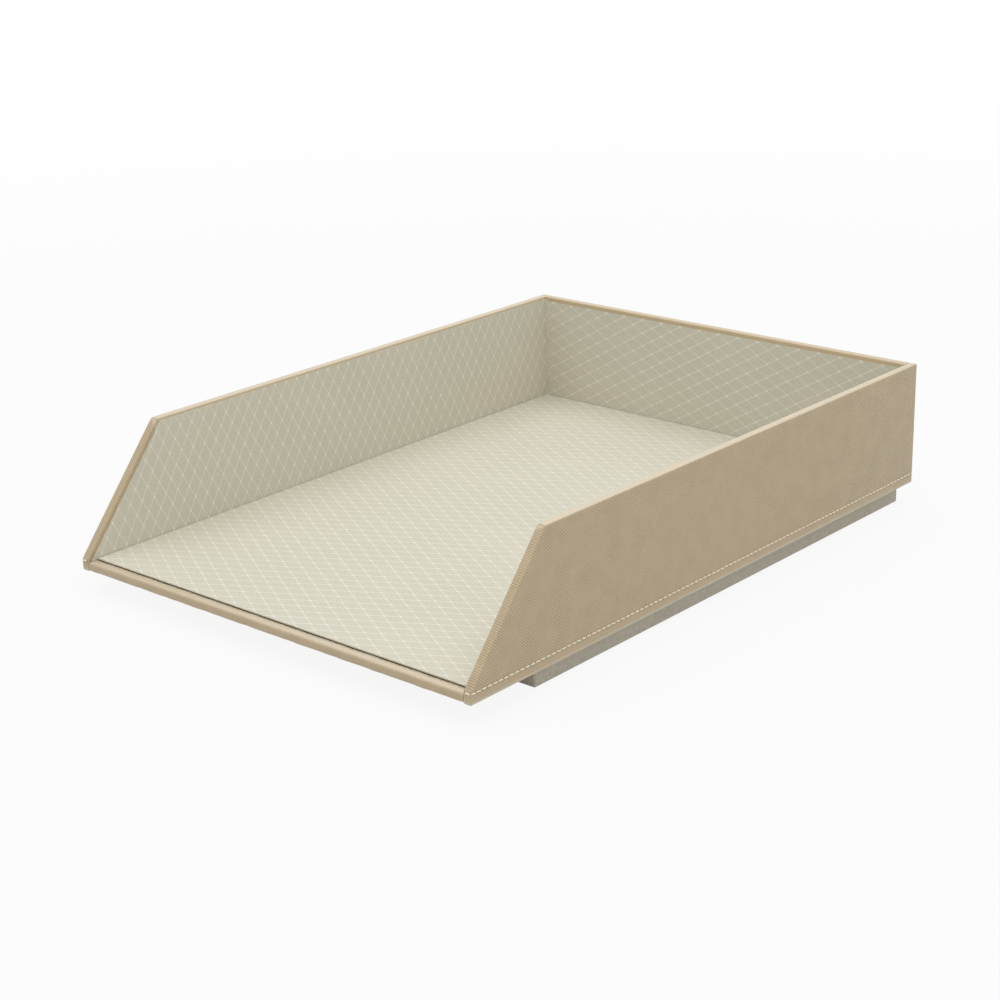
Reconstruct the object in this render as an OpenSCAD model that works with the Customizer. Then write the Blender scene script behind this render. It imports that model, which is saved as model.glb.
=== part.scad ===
// Letter tray: covered wall panels round a lined floor, on a low plinth for stacking.
// Millimetres. X runs across the tray, Y from the open front to the back wall, Z up.
// The origin is on the desk, under the middle of the tray's outline.

/* [Tray] */
// Outside width across the side walls
tray_w = 240; // [200:1:330]
// Outside depth from the front lip to the back wall
tray_d = 336; // [260:1:450]
// Height of the walls above the tray's underside
wall_h = 62; // [40:1:110]
// Distance behind the front edge at which a side wall reaches its full height
slope_run = 47; // [20:1:90]
// Height of the upright foot at the front of each side wall, where its slope starts
foot_h = 5.5; // [4:0.1:9]
// Height of the front lip
lip_h = 4.4; // [3.6:0.1:8]
// Width of the lip, from the front edge to the gap before the floor panel
lip_w = 4.8; // [3.5:0.1:12]
// Rounding of the lip's two front edges
lip_r = 1.2; // [1:0.1:1.7]

/* [Covered panels] */
// Thickness of the board inside each wall
wall_board_t = 3; // [2.4:0.1:6]
// Thickness of the cover
cover_t = 0.6; // [0.3:0.1:0.9]
// Rounding of the covered rims
rim_r = 0.7; // [0.7:0.1:1.7]
// Width of the cover's turn-in on the inside of a wall
turn_in = 14; // [6:1:18]

/* [Lining] */
// Thickness of the lining
lining_t = 0.4; // [0.2:0.1:0.8]
// Strip of cover that shows between a rim and the lining
lining_reveal = 2.3; // [1.8:0.1:5]
// Strip of cover that shows between the top of a side wall and its lining
top_reveal = 1.4; // [0.7:0.1:5]
// Width of the tab that each side lining turns on to the back wall
lining_tab = 2.6; // [1:0.1:6]
// Thickness of the card in the floor panel
floor_card_t = 0.8; // [0.4:0.1:2]
// Gap between the lip and the floor panel
lip_gap = 0.6; // [0.3:0.1:3]
// Room between the floor panel and the wall linings
floor_play = 0.3; // [0.1:0.1:1]

/* [Plinth] */
// Height of the plinth under the tray
plinth_h = 10; // [6:0.5:25]
// Room between the plinth and the walls of a tray below it in a stack
stack_play = 1; // [0.8:0.1:6]
// Distance of the plinth's front behind the front lip
plinth_front_inset = 45; // [10:1:90]
// Width of the plinth's rails
rail_w = 12; // [6:1:30]
// Thickness of the panel that closes the plinth
plinth_panel_t = 2.4; // [1.5:0.1:4]
// Thickness of the band wrapped round the plinth
plinth_wrap_t = 0.4; // [0.2:0.1:0.8]
// Rounding of the plinth's upright corners
plinth_corner_r = 1; // [1:0.1:6]
// Thickness of the sheet on which the tray stands
base_sheet_t = 0.5; // [0.3:0.1:1.5]
// Distance of that sheet's edge inside the plinth's outline
base_sheet_inset = 0.6; // [0.2:0.1:0.9]

/* [Seam] */
// Distance of the sewn seam below the top of the walls' feet
seam_drop = 0.6; // [0.5:0.1:2]
// Width of the channel that the seam presses into the cover
seam_w = 0.8; // [0.4:0.1:0.9]
// Depth of that channel
seam_depth = 0.2; // [0.1:0.05:0.25]

/* [Hidden] */
$fn = 48;

cover_colour = "#AC9C83";
lining_colour = "#BDB7A4";
wood_colour = "#6F573C";
card_colour = "#9A8D78";
panel_card_colour = "#3A3024";
plinth_colour = "#988F80";
base_colour = "#8A8277";

// How far cutting shapes reach past the surface they cut
overshoot = 3;

// A covered panel is a board with the cover on its outside and its turn-in on its inside
panel_t = wall_board_t + 2 * cover_t;
board_r = max(rim_r - cover_t, 0.1);

front_y = -tray_d / 2;
back_y = tray_d / 2;
back_inner_y = back_y - panel_t;
inner_w = tray_w - 2 * panel_t;

// The floor board lies between its own cover and the level of the lip's turn-in
floor_top = lip_h - cover_t;
floor_panel_w = inner_w - 2 * (lining_t + floor_play);
floor_panel_front = front_y + lip_w + lip_gap;
floor_panel_back = back_inner_y - lining_t - floor_play;

plinth_inset = panel_t + stack_play;
plinth_w = tray_w - 2 * plinth_inset;
plinth_front = front_y + plinth_front_inset;
plinth_back = back_y - plinth_inset;
rail_base = base_sheet_t + plinth_panel_t;

// A side lining stays on the flat part of its wall, below the rounded rim
side_lining_top = wall_h - max(top_reveal, rim_r);

// The seam's channel is round: its radius follows from its width and depth
seam_z = foot_h - seam_drop;
seam_r = (seam_w * seam_w / 4 + seam_depth * seam_depth) / (2 * seam_depth);
seam_out = seam_r - seam_depth;

// Where the sloping front edge of a side wall, or its line carried on, stands at height z
function slope_y(z) = front_y + (z - foot_h) * slope_run / (wall_h - foot_h);

// A side wall's outline from its side, counter-clockwise from the front foot
side_outline = [
    [front_y, 0],
    [back_y, 0],
    [back_y, wall_h],
    [slope_y(wall_h), wall_h],
    [front_y, foot_h],
];
BOTTOM = 0;
BACK = 1;
TOP = 2;
SLOPE = 3;
FOOT = 4;

// The same outline above height z, with the slope carried on down in place of the foot
function side_above(z) = [
    [slope_y(z), z],
    [back_y, z],
    [back_y, wall_h],
    [slope_y(wall_h), wall_h],
];

back_outline = [
    [-inner_w / 2, 0],
    [inner_w / 2, 0],
    [inner_w / 2, wall_h],
    [-inner_w / 2, wall_h],
];

// Inward normal of the side from a to b of a counter-clockwise outline
function inward(a, b) = [a.y - b.y, b.x - a.x] / norm(b - a);

// The point that lies d1 inside a line with normal n1 and d2 inside one with normal n2, both through p
function inner_corner(p, n1, n2, d1, d2) =
    p + [d1 * n2.y - d2 * n1.y, d2 * n1.x - d1 * n2.x] / (n1.x * n2.y - n1.y * n2.x);

// A convex outline with each of its sides moved inward by its own distance
function inset(pts, dist) = [
    for (i = [0 : len(pts) - 1])
        let (
            before = (i + len(pts) - 1) % len(pts),
            after = (i + 1) % len(pts)
        )
        inner_corner(
            pts[i],
            inward(pts[before], pts[i]),
            inward(pts[i], pts[after]),
            dist[before],
            dist[i]
        )
];

// The same distance for every side of an outline
function all_sides(pts, dist) = [for (p = pts) dist];

// Moves a flat-drawn panel to its wall: drawn X and Y lie in the wall, drawn Z runs inward
module on_left() {
    translate([-tray_w / 2, 0, plinth_h])
        rotate([90, 0, 90])
            children();
}

module on_right() {
    mirror([1, 0, 0])
        on_left()
            children();
}

module on_back() {
    translate([0, back_y, plinth_h])
        rotate([90, 0, 0])
            children();
}

// Draws a section of the floor, Y across and Z up, along a length of X
module along_floor(length) {
    translate([-length / 2, 0, plinth_h])
        rotate([90, 0, 90])
            linear_extrude(length)
                children();
}

// What a rounded edge leaves outside it, for an edge at the drawing's origin
module corner_waste(r) {
    difference() {
        translate([-overshoot, -overshoot])
            square(r + overshoot);
        translate([r, r])
            circle(r);
    }
}

// That waste along one side of an outline, on the face at height 0
module rim_waste(a, b, r) {
    run = b - a;
    translate([a.x, a.y, 0])
        rotate(atan2(run.y, run.x))
            translate([-overshoot, 0, 0])
                rotate([90, 0, 90])
                    linear_extrude(norm(run) + 2 * overshoot)
                        corner_waste(r);
}

// A flat panel with rounded edges along the chosen sides of its outer and inner faces
module rounded_panel(pts, t, r, outer_sides, inner_sides) {
    difference() {
        linear_extrude(t)
            polygon(pts);
        for (i = outer_sides)
            rim_waste(pts[i], pts[(i + 1) % len(pts)], r);
        for (i = inner_sides)
            translate([0, 0, t])
                mirror([0, 0, 1])
                    rim_waste(pts[i], pts[(i + 1) % len(pts)], r);
    }
}

// The board inside a panel
module panel_board(pts, outer_sides, inner_sides) {
    translate([0, 0, cover_t])
        rounded_panel(
            inset(pts, all_sides(pts, cover_t)),
            wall_board_t, board_r, outer_sides, inner_sides
        );
}

// The cover round a panel's board, with a window inside its turn-ins
module panel_cover(pts, window, outer_sides, inner_sides) {
    difference() {
        rounded_panel(pts, panel_t, rim_r, outer_sides, inner_sides);
        panel_board(pts, outer_sides, inner_sides);
        translate([0, 0, cover_t + wall_board_t])
            linear_extrude(cover_t + overshoot)
                polygon(window);
    }
}

// The card that fills the window level with the turn-ins
module panel_infill(window) {
    translate([0, 0, cover_t + wall_board_t])
        linear_extrude(cover_t)
            polygon(window);
}

// Rims that are rounded: all that show, but not where a wall butts on the floor or the back wall
side_outer = [BOTTOM, BACK, TOP, SLOPE, FOOT];
side_inner = [TOP, SLOPE];
back_outer = [BOTTOM, TOP];
back_inner = [TOP];

side_window = inset(side_above(0), all_sides(side_above(0), turn_in));
back_window = inset(back_outline, all_sides(back_outline, turn_in));

// Straight part of the seam's channel, along the drawn X axis from x0 to x1
module seam_run(x0, x1) {
    translate([x0, seam_z, -seam_out])
        rotate([0, 90, 0])
            cylinder(h = x1 - x0, r = seam_r);
}

// The channel's quarter turn round the upright edge of a side wall at its front or back end
module seam_turn(edge_y, quarter) {
    translate([edge_y, seam_z, rim_r])
        rotate([-90, 0, 0])
            rotate(quarter * 90)
                rotate_extrude(angle = 90)
                    translate([rim_r + seam_out, 0])
                        circle(seam_r);
}

// The channel across an end face of a side wall
module seam_end(y) {
    translate([y, seam_z, rim_r])
        cylinder(h = panel_t - rim_r + overshoot, r = seam_r);
}

module side_cover_shape() {
    difference() {
        panel_cover(side_outline, side_window, side_outer, side_inner);
        seam_run(front_y + rim_r, back_y - rim_r);
        seam_turn(front_y + rim_r, 1);
        seam_turn(back_y - rim_r, 0);
        seam_end(front_y - seam_out);
        seam_end(back_y + seam_out);
    }
}

// A side wall's lining, with its tab on the back wall
module side_lining_shape() {
    outline = inset(side_above(lip_h), [0, panel_t, wall_h - side_lining_top, lining_reveal]);
    translate([0, 0, panel_t])
        linear_extrude(lining_t)
            polygon(outline);
    translate([back_inner_y - lining_t, lip_h, panel_t])
        cube([lining_t, side_lining_top - lip_h, lining_tab]);
}

// Section of the floor board with the cover round its front edge
module floor_section(grow, r) {
    difference() {
        translate([front_y + cover_t - grow, cover_t - grow])
            square([back_inner_y - front_y - cover_t + grow, floor_top - cover_t + 2 * grow]);
        translate([front_y + cover_t - grow, cover_t - grow])
            corner_waste(r);
        translate([front_y + cover_t - grow, floor_top + grow])
            mirror([0, 1])
                corner_waste(r);
    }
}

// The plinth's outline in plan, moved inward by d
module plinth_plan(d) {
    r = plinth_corner_r - d;
    half_w = plinth_w / 2 - d;
    half_d = (plinth_back - plinth_front) / 2 - d;
    translate([0, (plinth_front + plinth_back) / 2])
        difference() {
            square([2 * half_w, 2 * half_d], center = true);
            for (sx = [0, 1], sy = [0, 1])
                mirror([sx, 0])
                    mirror([0, sy])
                        translate([-half_w, -half_d])
                            corner_waste(r);
        }
}

// Corners of the plinth's rails at distance d inside its outline: front left, then round by the right
function rail_corners(d) = [
    [-plinth_w / 2 + d, plinth_front + d],
    [plinth_w / 2 - d, plinth_front + d],
    [plinth_w / 2 - d, plinth_back - d],
    [-plinth_w / 2 + d, plinth_back - d],
];

// One rail of the plinth, mitred at both ends
module plinth_rail(k) {
    outer = rail_corners(0);
    inner = rail_corners(plinth_wrap_t + rail_w);
    next = (k + 1) % 4;
    color(wood_colour)
        translate([0, 0, rail_base])
            linear_extrude(plinth_h - rail_base)
                intersection() {
                    plinth_plan(plinth_wrap_t);
                    polygon([outer[k], outer[next], inner[next], inner[k]]);
                }
}

module floor_board() {
    color(wood_colour)
        along_floor(inner_w)
            floor_section(0, lip_r - cover_t);
}

module left_wall_board() {
    color(wood_colour)
        on_left()
            panel_board(side_outline, side_outer, side_inner);
}

module right_wall_board() {
    color(wood_colour)
        on_right()
            panel_board(side_outline, side_outer, side_inner);
}

module back_wall_board() {
    color(wood_colour)
        on_back()
            panel_board(back_outline, back_outer, back_inner);
}

module floor_cover() {
    color(cover_colour)
        along_floor(inner_w)
            difference() {
                floor_section(cover_t, lip_r);
                floor_section(0, lip_r - cover_t);
                translate([front_y + lip_w, floor_top])
                    square([tray_d, cover_t + overshoot]);
            }
}

module left_wall_cover() {
    color(cover_colour)
        on_left()
            side_cover_shape();
}

module right_wall_cover() {
    color(cover_colour)
        on_right()
            side_cover_shape();
}

module back_wall_cover() {
    color(cover_colour)
        on_back()
            difference() {
                panel_cover(back_outline, back_window, back_outer, back_inner);
                seam_run(-inner_w / 2 - overshoot, inner_w / 2 + overshoot);
            }
}

module left_infill_card() {
    color(card_colour)
        on_left()
            panel_infill(side_window);
}

module right_infill_card() {
    color(card_colour)
        on_right()
            panel_infill(side_window);
}

module back_infill_card() {
    color(card_colour)
        on_back()
            panel_infill(back_window);
}

module left_lining() {
    color(lining_colour)
        on_left()
            side_lining_shape();
}

module right_lining() {
    color(lining_colour)
        on_right()
            side_lining_shape();
}

module back_lining() {
    color(lining_colour)
        on_back()
            translate([-inner_w / 2 + lining_tab, lip_h, panel_t])
                cube([inner_w - 2 * lining_tab, wall_h - lining_reveal - lip_h, lining_t]);
}

module floor_panel_card() {
    color(panel_card_colour)
        along_floor(floor_panel_w)
            translate([floor_panel_front, floor_top])
                square([floor_panel_back - floor_panel_front, floor_card_t]);
}

// The floor's lining is cut level with its card, whose raw edge shows behind the lip
module floor_lining() {
    color(lining_colour)
        along_floor(floor_panel_w)
            translate([floor_panel_front, floor_top + floor_card_t])
                square([floor_panel_back - floor_panel_front, lining_t]);
}

module plinth_front_rail() {
    plinth_rail(0);
}

module plinth_right_rail() {
    plinth_rail(1);
}

module plinth_back_rail() {
    plinth_rail(2);
}

module plinth_left_rail() {
    plinth_rail(3);
}

module plinth_panel() {
    color(wood_colour)
        translate([0, 0, base_sheet_t])
            linear_extrude(plinth_panel_t)
                plinth_plan(plinth_wrap_t);
}

module plinth_wrap() {
    color(plinth_colour)
        translate([0, 0, base_sheet_t])
            linear_extrude(plinth_h - base_sheet_t)
                difference() {
                    plinth_plan(0);
                    plinth_plan(plinth_wrap_t);
                }
}

module plinth_base_sheet() {
    color(base_colour)
        linear_extrude(base_sheet_t)
            plinth_plan(base_sheet_inset);
}

floor_board();
left_wall_board();
right_wall_board();
back_wall_board();
floor_cover();
left_wall_cover();
right_wall_cover();
back_wall_cover();
left_infill_card();
right_infill_card();
back_infill_card();
left_lining();
right_lining();
back_lining();
floor_panel_card();
floor_lining();
plinth_front_rail();
plinth_right_rail();
plinth_back_rail();
plinth_left_rail();
plinth_panel();
plinth_wrap();
plinth_base_sheet();
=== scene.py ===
"""Letter tray: leatherette covers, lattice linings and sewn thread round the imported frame."""

import math
from typing import NamedTuple

import bmesh
import bpy
from mathutils import Matrix, Vector


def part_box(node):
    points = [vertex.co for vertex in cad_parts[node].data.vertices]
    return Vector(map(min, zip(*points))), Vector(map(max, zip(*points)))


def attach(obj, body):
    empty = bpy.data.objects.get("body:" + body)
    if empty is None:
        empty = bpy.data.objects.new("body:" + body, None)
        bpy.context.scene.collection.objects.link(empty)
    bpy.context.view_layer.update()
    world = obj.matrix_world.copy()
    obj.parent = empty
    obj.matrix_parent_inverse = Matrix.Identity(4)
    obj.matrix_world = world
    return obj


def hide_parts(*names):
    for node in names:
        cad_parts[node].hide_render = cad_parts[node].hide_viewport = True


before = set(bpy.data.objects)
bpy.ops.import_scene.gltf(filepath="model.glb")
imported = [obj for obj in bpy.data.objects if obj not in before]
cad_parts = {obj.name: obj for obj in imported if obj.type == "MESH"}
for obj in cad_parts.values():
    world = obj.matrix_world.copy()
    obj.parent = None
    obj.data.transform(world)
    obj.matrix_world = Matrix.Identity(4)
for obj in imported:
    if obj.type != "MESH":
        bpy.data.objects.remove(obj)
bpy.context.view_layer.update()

bl_info = {
    "name": "Letter Tray Finisher",
    "version": (1, 0, 0),
    "blender": (4, 5, 0),
    "location": "View3D > Sidebar > Letter Tray",
    "description": "Covers, lines and sews a board letter tray, and sets its studio stage",
    "category": "Object",
}

MM = 0.001
NEAR = 0.01 * MM
SAME = 1e-8
WELD = 0.001 * MM
BODY = "root"

# Sizes read from the frame
SIDE_LOW, SIDE_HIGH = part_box("left_wall_cover")
BACK_LOW, BACK_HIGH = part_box("back_wall_cover")
FLOOR_LOW, FLOOR_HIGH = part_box("floor_cover")
BOARD_LOW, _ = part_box("floor_board")
PANEL_LOW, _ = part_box("floor_lining")
TRAY_W = -2 * SIDE_LOW.x
FRONT_Y = SIDE_LOW.y
BACK_Y = SIDE_HIGH.y
BASE_Z = SIDE_LOW.z
WALL_H = SIDE_HIGH.z - BASE_Z
PANEL_T = SIDE_HIGH.x - SIDE_LOW.x
INNER_W = BACK_HIGH.x - BACK_LOW.x
LIP_H = FLOOR_HIGH.z - BASE_Z
COVER_T = BOARD_LOW.z - FLOOR_LOW.z
SIDE_POINTS = [vertex.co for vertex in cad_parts["left_wall_cover"].data.vertices]
FLOOR_POINTS = [vertex.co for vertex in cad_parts["floor_cover"].data.vertices]
LIP_W = max(point.y for point in FLOOR_POINTS if point.z > FLOOR_HIGH.z - NEAR) - FRONT_Y
LIP_R = min(point.z for point in FLOOR_POINTS if point.y < FRONT_Y + NEAR) - BASE_Z
SLOPE_TOP_Y = min(point.y for point in SIDE_POINTS if point.z > SIDE_HIGH.z - NEAR)
FOOT_H = max(point.z for point in SIDE_POINTS if point.y < FRONT_Y + NEAR) - BASE_Z
RIM_R = min(point.y for point in SIDE_POINTS if point.x < SIDE_LOW.x + NEAR) - FRONT_Y
SLOPE_FACING = Vector((0.0, FOOT_H - WALL_H, SLOPE_TOP_Y - FRONT_Y)).normalized()

WHITE = (1.0, 1.0, 1.0, 1.0)
FLOOR_GREY = (0.7, 0.7, 0.7, 1.0)

BOARD_NODES = (
    "floor_board", "left_wall_board", "right_wall_board", "back_wall_board", "plinth_panel",
    "plinth_front_rail", "plinth_right_rail", "plinth_back_rail", "plinth_left_rail",
)
CARD_NODES = ("left_infill_card", "right_infill_card", "back_infill_card")


def srgb(red, green, blue):
    """A colour given in the 0 to 255 steps of a picture, as linear light."""
    steps = [value / 255 for value in (red, green, blue)]
    return tuple(v / 12.92 if v <= 0.04045 else ((v + 0.055) / 1.055) ** 2.4 for v in steps)


class Value:
    """A socket in a tree of nodes: Python's operators on it add Math nodes."""

    def __init__(self, tree, socket):
        self.tree = tree
        self.socket = socket

    def math(self, operation, *others):
        """Adds a Math node of that operation on this value and others."""
        inputs = dict(enumerate((self, *others)))
        return self.tree.node("ShaderNodeMath", {"operation": operation}, inputs)

    def __add__(self, other):
        return self.math("ADD", other)

    def __sub__(self, other):
        return self.math("SUBTRACT", other)

    def __rsub__(self, other):
        return self * -1.0 + other

    def __mul__(self, other):
        return self.math("MULTIPLY", other)

    def __truediv__(self, other):
        return self.math("DIVIDE", other)

    def __pow__(self, other):
        return self.math("POWER", other)

    def __abs__(self):
        return self.math("ABSOLUTE")

    __radd__ = __add__
    __rmul__ = __mul__

    def ramp(self, low, high):
        """0 below low and 1 above high, or the other way round where low is the larger."""
        settings = {"interpolation_type": "SMOOTHSTEP", "clamp": True}
        inputs = {0: self, 1: low, 2: high, 3: 0.0, 4: 1.0}
        return self.tree.node("ShaderNodeMapRange", settings, inputs)

    def past_whole(self):
        """How far the value is past its nearest whole number, from -0.5 to 0.5."""
        return self - self.math("ROUND")


class Tree:
    """The nodes of a material or a world, with one method that adds any node."""

    def __init__(self, owner):
        owner.use_nodes = True
        self.made = owner.node_tree

    def node(self, kind, settings=None, inputs=None, output=0):
        """Adds a node: its settings are set first, then its sockets, by name or number.

        output is the name or number of the socket to give back, or a tuple of them for a list.
        """
        added = self.made.nodes.new(kind)
        for key, value in (settings or {}).items():
            setattr(added, key, value)
        for key, value in (inputs or {}).items():
            self.feed(added.inputs[key], value)
        if isinstance(output, tuple):
            return [Value(self, added.outputs[key]) for key in output]
        return Value(self, added.outputs[output])

    def feed(self, socket, value):
        """Links a value to a socket, or sets a constant on it."""
        if isinstance(value, Value):
            self.made.links.new(value.socket, socket)
        else:
            socket.default_value = value

    def whiten(self, output, plain, glow, share):
        """Shows white, by that share, to the camera and in gloss and glass, and plain to all else.

        glow is the kind of node that gives white light in this tree.
        """
        kinds = ("Is Camera Ray", "Is Glossy Ray", "Is Transmission Ray")
        camera, gloss, glass = self.node("ShaderNodeLightPath", None, None, kinds)
        seen = (camera + gloss + glass).math("MINIMUM", 1.0)
        white = self.node(glow, None, {"Color": WHITE, "Strength": 1.0})
        mixed = self.node("ShaderNodeMixShader", None, {0: seen * share, 1: plain, 2: white})
        self.feed(self.made.nodes[output].inputs["Surface"], mixed)


class Finish(Tree):
    """A material in the making."""

    def __init__(self, name, roughness, specular=0.5):
        self.material = bpy.data.materials.new(name)
        super().__init__(self.material)
        self.shader = self.made.nodes["Principled BSDF"]
        self.set("Roughness", roughness)
        self.set("Specular IOR Level", specular)

    def mix(self, factor, low, high):
        """A colour between low, at factor 0, and high, at 1."""
        first, second = [c if isinstance(c, Value) else (*c, 1.0) for c in (low, high)]
        inputs = {0: factor, 6: first, 7: second}
        return self.node("ShaderNodeMix", {"data_type": "RGBA"}, inputs, 2)

    def split(self, vector):
        """The three parts of a vector."""
        return self.node("ShaderNodeSeparateXYZ", None, {0: vector}, (0, 1, 2))

    def join(self, x, y):
        """A vector of two parts, with nothing for the third."""
        return self.node("ShaderNodeCombineXYZ", None, {0: x, 1: y})

    def place(self):
        """Where a point is in the tray's frame, in metres."""
        return self.node("ShaderNodeTexCoord", None, None, 3)

    def cloth(self):
        """A point's place on its flat sheet of cover, in metres, and 1 in a fold or 0 out of it."""
        return self.split(self.node("ShaderNodeAttribute", {"attribute_name": "cloth"}, None, 1))

    def noise(self, vector, size, detail=2.0, roughness=0.5):
        """Soft noise from 0 to 1, in clouds of about that size."""
        inputs = {"Vector": vector, "Scale": 1 / size, "Detail": detail, "Roughness": roughness}
        return self.node("ShaderNodeTexNoise", None, inputs)

    def edge_turn(self, radius):
        """How far a rounded edge turns the surface within a radius: 0 on flat faces."""
        return 1 - self.facing(self.node("ShaderNodeBevel", {"samples": 4}, {"Radius": radius}))

    def facing(self, direction):
        """How nearly the surface faces a direction: 1 where it does, 0 where it is edge-on."""
        normal = self.node("ShaderNodeNewGeometry", None, None, 1)
        inputs = {0: direction, 1: normal}
        return self.node("ShaderNodeVectorMath", {"operation": "DOT_PRODUCT"}, inputs, 1)

    def set(self, socket, value):
        """Feeds one of the shader's own sockets."""
        self.feed(self.shader.inputs[socket], value)

    def relief(self, height, distance):
        """Raises the surface by height, from 0 to 1, times distance."""
        inputs = {"Height": height, "Distance": distance, "Strength": 1.0}
        self.set("Normal", self.node("ShaderNodeBump", None, inputs))


def dress(obj, material):
    """Gives an object one material."""
    obj.data.materials.clear()
    obj.data.materials.append(material)


def add_piece(name, points, faces, material, cloth=None, replaced=None):
    """Makes a smooth mesh piece that rides on the tray."""
    mesh = bpy.data.meshes.new(name)
    mesh.from_pydata(points, [], faces)
    mesh.validate()
    if cloth:
        layer = mesh.attributes.new("cloth", "FLOAT_VECTOR", "POINT")
        layer.data.foreach_set("vector", [part for place in cloth for part in place])
    sheet = bmesh.new()
    sheet.from_mesh(mesh)
    bmesh.ops.remove_doubles(sheet, verts=sheet.verts, dist=WELD)
    sheet.to_mesh(mesh)
    sheet.free()
    mesh.shade_smooth()
    piece = bpy.data.objects.new(name, mesh)
    bpy.context.scene.collection.objects.link(piece)
    dress(piece, material)
    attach(piece, BODY)
    if replaced:
        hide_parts(replaced)
    return piece


# Outlines of panels, as corners in metres, counter-clockwise seen from outside


def inward(a, b):
    """Inward normal of the side from a to b."""
    length = math.dist(a, b)
    return ((a[1] - b[1]) / length, (b[0] - a[0]) / length)


def crossing(one, two):
    """Where two lines cross, each given as a * s + b * t = c."""
    area = one[0] * two[1] - two[0] * one[1]
    return ((one[2] * two[1] - two[2] * one[1]) / area, (one[0] * two[2] - two[0] * one[2]) / area)


def dot(a, b):
    """Scalar product of two places in the plane."""
    return a[0] * b[0] + a[1] * b[1]


def lerp(a, b, share):
    """The value that lies that share of the way from a to b."""
    return a + (b - a) * share


class Step(NamedTuple):
    """One step of a cover's way over a rim.

    inside is its distance inside the outline, depth its depth behind the outer face and run the
    length of cover up to it. turn is how far the cover has turned there, in degrees.
    """

    inside: float
    depth: float
    run: float
    turn: float


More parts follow.
